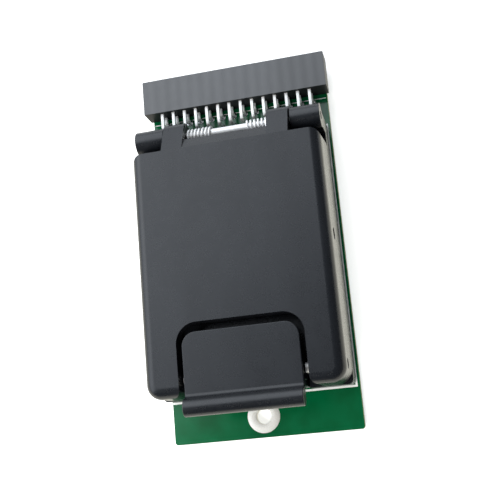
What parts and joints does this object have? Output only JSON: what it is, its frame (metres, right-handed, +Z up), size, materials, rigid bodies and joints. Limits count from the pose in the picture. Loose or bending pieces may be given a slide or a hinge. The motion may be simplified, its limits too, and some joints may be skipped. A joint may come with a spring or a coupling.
{
  "type": "programmer adapter socket",
  "caption": "Programmer adapter board with a right-angle two-row socket header and a latched clamshell test socket for a ball-grid chip.",
  "frame": {"origin": "middle of the outline seen from above, at the level of the lowest solder tails and screw heads", "axes": "+X to the right seen from the lid's front, +Y towards the header's open face, +Z up out of the lid"},
  "size_m": [0.0406, 0.0794, 0.0219],
  "materials": {
    "board": "green solder mask over a glass-fibre board",
    "header_plastic": "black moulded plastic",
    "socket_plastic": "dark grey moulded plastic, smooth satin",
    "carrier_plastic": "dark machined plastic",
    "tinned_pins": "tin-plated copper alloy",
    "gold_contacts": "gold-plated copper alloy",
    "screw_steel": "zinc-plated steel",
    "bright_steel": "ground stainless steel",
    "spring_steel": "bright spring wire"
  },
  "bodies": {
    "board_assembly": {"circuit_board": "board", "header_housing": "header_plastic", "header_pins_lower": "tinned_pins", "header_pins_upper": "tinned_pins", "socket_base": "socket_plastic", "contact_carrier": "carrier_plastic", "contact_pins": "gold_contacts", "socket_screws": "screw_steel", "hinge_shaft": "bright_steel", "hinge_spring_left": "spring_steel", "hinge_spring_right": "spring_steel", "nest_screws": "screw_steel", "nest_springs": "spring_steel"},
    "nest": {"chip_nest": "carrier_plastic"},
    "lid": {"lid_cover": "socket_plastic", "latch_pin": "bright_steel", "latch_springs": "spring_steel", "pressure_pin": "bright_steel", "pressure_springs": "spring_steel"},
    "latch": {"latch_lever": "socket_plastic"},
    "pressure_plate": {"pressure_plate": "carrier_plastic"}
  },
  "joints": [
    {"name": "nest_float", "type": "slide", "parent": "board_assembly", "child": "nest", "axis": [0, 0, 1], "range_m": [-0.0004, 0], "stiffness_N_per_m": 1500, "springref_m": 0.0004, "deforming": ["nest_springs"]},
    {"name": "lid_hinge", "type": "hinge", "parent": "board_assembly", "child": "lid", "pos_m": [-0.00055, 0.0232, 0.0135], "axis": [-1, 0, 0], "range_deg": [0, 100]},
    {"name": "latch_rock", "type": "hinge", "parent": "lid", "child": "latch", "pos_m": [-0.00055, -0.0274, 0.015], "axis": [-1, 0, 0], "range_deg": [0, 12], "stiffness_Nm_per_rad": 0.03, "springref_deg": -8.59, "deforming": ["latch_springs"]},
    {"name": "plate_rock", "type": "hinge", "parent": "lid", "child": "pressure_plate", "pos_m": [-0.00055, -0.0018, 0.0139], "axis": [-1, 0, 0], "range_deg": [-2, 2], "stiffness_Nm_per_rad": 0.02, "deforming": ["pressure_springs"]}
  ]
}
